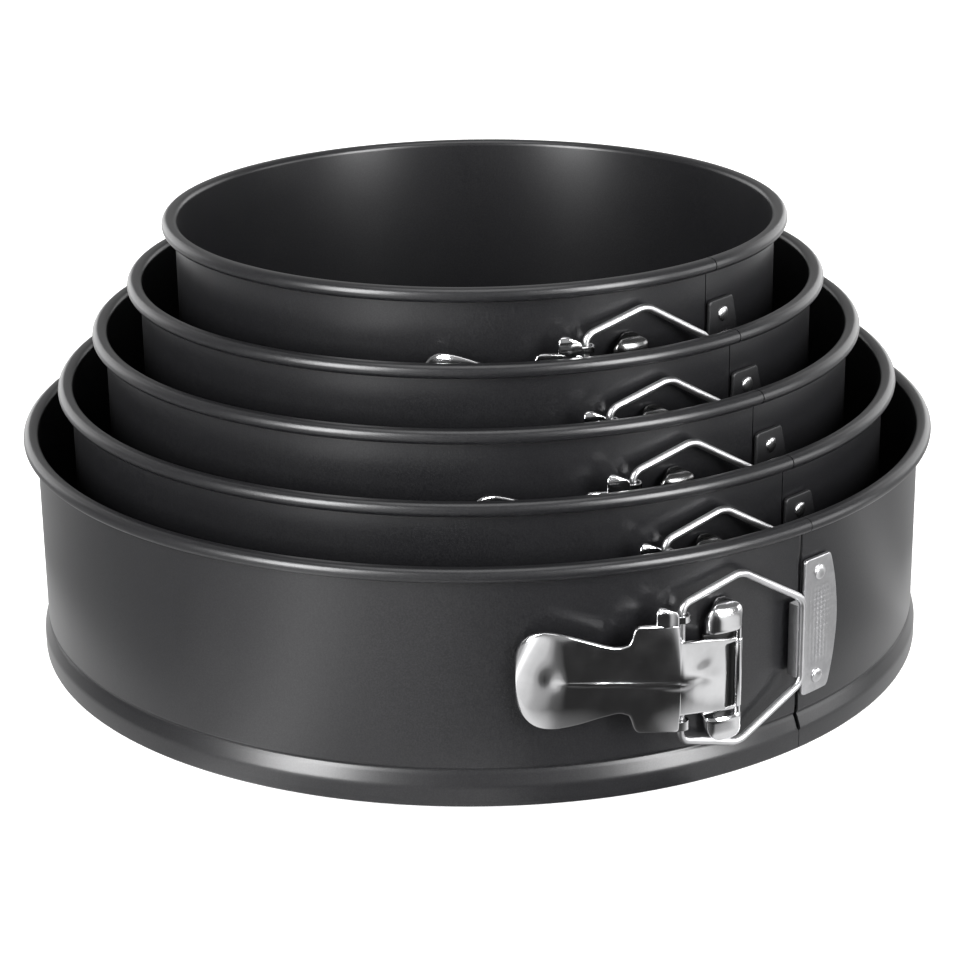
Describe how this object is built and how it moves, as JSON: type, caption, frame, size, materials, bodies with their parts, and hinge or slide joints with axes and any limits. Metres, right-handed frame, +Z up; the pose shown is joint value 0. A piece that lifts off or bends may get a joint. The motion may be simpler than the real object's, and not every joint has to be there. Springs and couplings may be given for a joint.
{
  "type": "springform pan set",
  "caption": "Nested round baking pans, each a coated steel band that a bright lever latch clamps round a loose base disc.",
  "frame": {"origin": "centre of the largest base's flat underside, on the pans' common axis", "axes": "+Z up along the pans' axis, -Y towards the largest band's seam, +X to the right seen from the seam"},
  "size_m": [0.2482, 0.2498, 0.118],
  "materials": {
    "band_coating": "satin dark grey non-stick coating on steel",
    "base_coating": "satin dark grey non-stick coating on steel",
    "bracket_chrome": "bright plated steel",
    "lever_chrome": "bright plated pressed steel",
    "bail_chrome": "bright plated wire",
    "catch_plate_steel": "dull plated steel",
    "rivet_steel": "bright steel"
  },
  "bodies": {
    "base_24": {"pan24_base": "base_coating"},
    "band_left": {"pan24_band_left": "band_coating", "pan24_hinge_bracket": "bracket_chrome", "pan24_bracket_rivet_top": "rivet_steel", "pan24_bracket_rivet_bottom": "rivet_steel"},
    "band_right": {"pan24_band_right": "band_coating", "pan24_catch_plate": "catch_plate_steel", "pan24_catch_rivet_top": "rivet_steel", "pan24_catch_rivet_bottom": "rivet_steel"},
    "lever": {"pan24_lever": "lever_chrome"},
    "bail": {"pan24_bail": "bail_chrome"},
    "pan_22": {"pan22_base": "base_coating", "pan22_band": "band_coating", "pan22_hinge_bracket": "bracket_chrome", "pan22_bracket_rivet_top": "rivet_steel", "pan22_bracket_rivet_bottom": "rivet_steel", "pan22_lever": "lever_chrome", "pan22_bail": "bail_chrome", "pan22_catch_plate": "catch_plate_steel", "pan22_catch_rivet_top": "rivet_steel", "pan22_catch_rivet_bottom": "rivet_steel"},
    "pan_20": {"pan20_base": "base_coating", "pan20_band": "band_coating", "pan20_hinge_bracket": "bracket_chrome", "pan20_bracket_rivet_top": "rivet_steel", "pan20_bracket_rivet_bottom": "rivet_steel", "pan20_lever": "lever_chrome", "pan20_bail": "bail_chrome", "pan20_catch_plate": "catch_plate_steel", "pan20_catch_rivet_top": "rivet_steel", "pan20_catch_rivet_bottom": "rivet_steel"},
    "pan_18": {"pan18_base": "base_coating", "pan18_band": "band_coating", "pan18_hinge_bracket": "bracket_chrome", "pan18_bracket_rivet_top": "rivet_steel", "pan18_bracket_rivet_bottom": "rivet_steel", "pan18_lever": "lever_chrome", "pan18_bail": "bail_chrome", "pan18_catch_plate": "catch_plate_steel", "pan18_catch_rivet_top": "rivet_steel", "pan18_catch_rivet_bottom": "rivet_steel"},
    "pan_16": {"pan16_base": "base_coating", "pan16_band": "band_coating", "pan16_hinge_bracket": "bracket_chrome", "pan16_bracket_rivet_top": "rivet_steel", "pan16_bracket_rivet_bottom": "rivet_steel", "pan16_lever": "lever_chrome", "pan16_bail": "bail_chrome", "pan16_catch_plate": "catch_plate_steel", "pan16_catch_rivet_top": "rivet_steel", "pan16_catch_rivet_bottom": "rivet_steel"}
  },
  "joints": [
    {"name": "band_left_spring", "type": "hinge", "parent": "base_24", "child": "band_left", "pos_m": [0, 0.1206, 0.031], "axis": [0, 0, 1], "range_deg": [-1.44, 0]},
    {"name": "band_right_spring", "type": "hinge", "parent": "band_left", "child": "band_right", "pos_m": [0, 0.1206, 0.031], "axis": [0, 0, 1], "range_deg": [0, 2.88]},
    {"name": "lever_hinge", "type": "hinge", "parent": "band_left", "child": "lever", "pos_m": [-0.0224, -0.12145, 0.0285], "axis": [0, 0, 1], "range_deg": [0, 165]},
    {"name": "bail_pivot", "type": "hinge", "parent": "lever", "child": "bail", "pos_m": [-0.03881, -0.1184, 0.0316], "axis": [0, 0, 1], "range_deg": [-165.5, 0]},
    {"name": "lift_22", "type": "slide", "parent": "base_24", "child": "pan_22", "axis": [0, 0, 1], "range_m": [0, 0.07]},
    {"name": "lift_20", "type": "slide", "parent": "pan_22", "child": "pan_20", "axis": [0, 0, 1], "range_m": [0, 0.07]},
    {"name": "lift_18", "type": "slide", "parent": "pan_20", "child": "pan_18", "axis": [0, 0, 1], "range_m": [0, 0.07]},
    {"name": "lift_16", "type": "slide", "parent": "pan_18", "child": "pan_16", "axis": [0, 0, 1], "range_m": [0, 0.07]}
  ],
  "couplings": [
    {"joint": "band_left_spring", "follows": "lever_hinge", "ratio": -0.008667},
    {"joint": "band_right_spring", "follows": "lever_hinge", "ratio": 0.017333},
    {"joint": "bail_pivot", "follows": "lever_hinge", "ratio": -1}
  ]
}
